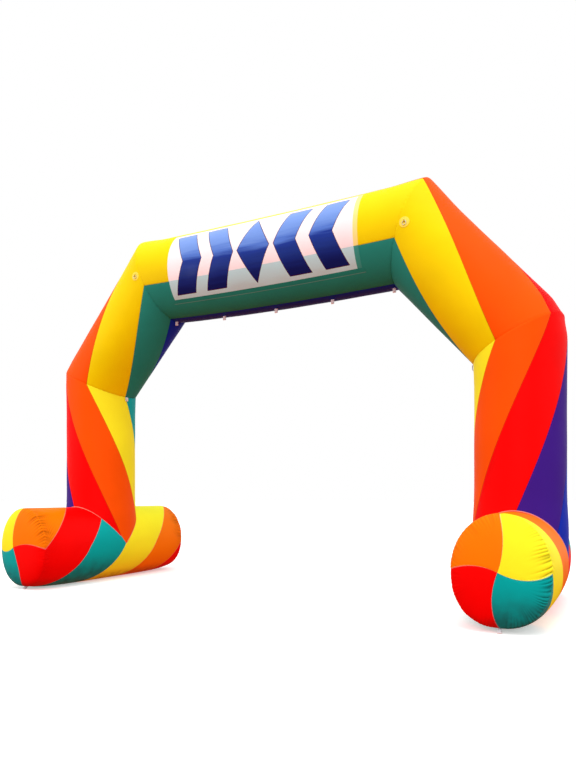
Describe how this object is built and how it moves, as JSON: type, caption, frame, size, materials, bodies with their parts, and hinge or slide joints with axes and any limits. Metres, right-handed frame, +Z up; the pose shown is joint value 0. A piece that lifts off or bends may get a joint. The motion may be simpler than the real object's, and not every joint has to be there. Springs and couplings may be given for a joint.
{
  "type": "inflatable arch",
  "caption": "Free-standing air-filled event arch with mitred striped tubes, bolster feet with domed caps, a curved front banner and webbing tie loops.",
  "frame": {"origin": "on the ground, midway between the legs and midway through the arch", "axes": "+Z up; +X across the arch, from its left leg to its right as seen from the front; the banner faces -Y"},
  "size_m": [7.369, 2.9386, 5.0495],
  "materials": {
    "beam_cloth": "coated nylon with a satin sheen",
    "haunch_cloth": "coated nylon with a satin sheen",
    "leg_cloth": "coated nylon with a satin sheen",
    "foot_cloth": "coated nylon with a satin sheen",
    "cap_cloth": "coated nylon with a satin sheen",
    "banner_film": "glossy translucent vinyl, printed",
    "strip_cloth": "coated nylon",
    "patch_cloth": "coated nylon",
    "ring_steel": "plated wire",
    "webbing": "woven polyester"
  },
  "bodies": {
    "root": {"beam": "beam_cloth", "haunch_left": "haunch_cloth", "haunch_right": "haunch_cloth", "leg_left": "leg_cloth", "leg_right": "leg_cloth", "foot_left": "foot_cloth", "foot_right": "foot_cloth", "foot_left_front_cap": "cap_cloth", "foot_left_back_cap": "cap_cloth", "foot_right_front_cap": "cap_cloth", "foot_right_back_cap": "cap_cloth", "banner": "banner_film", "banner_strip": "strip_cloth", "corner_patch_left": "patch_cloth", "corner_patch_right": "patch_cloth", "corner_ring_left": "ring_steel", "corner_ring_right": "ring_steel", "ground_loop_left": "webbing", "ground_loop_right": "webbing", "tie_loop_1": "webbing", "tie_loop_2": "webbing", "tie_loop_3": "webbing", "tie_loop_4": "webbing", "tie_loop_5": "webbing", "tie_loop_6": "webbing", "tie_loop_7": "webbing"}
  },
  "joints": []
}
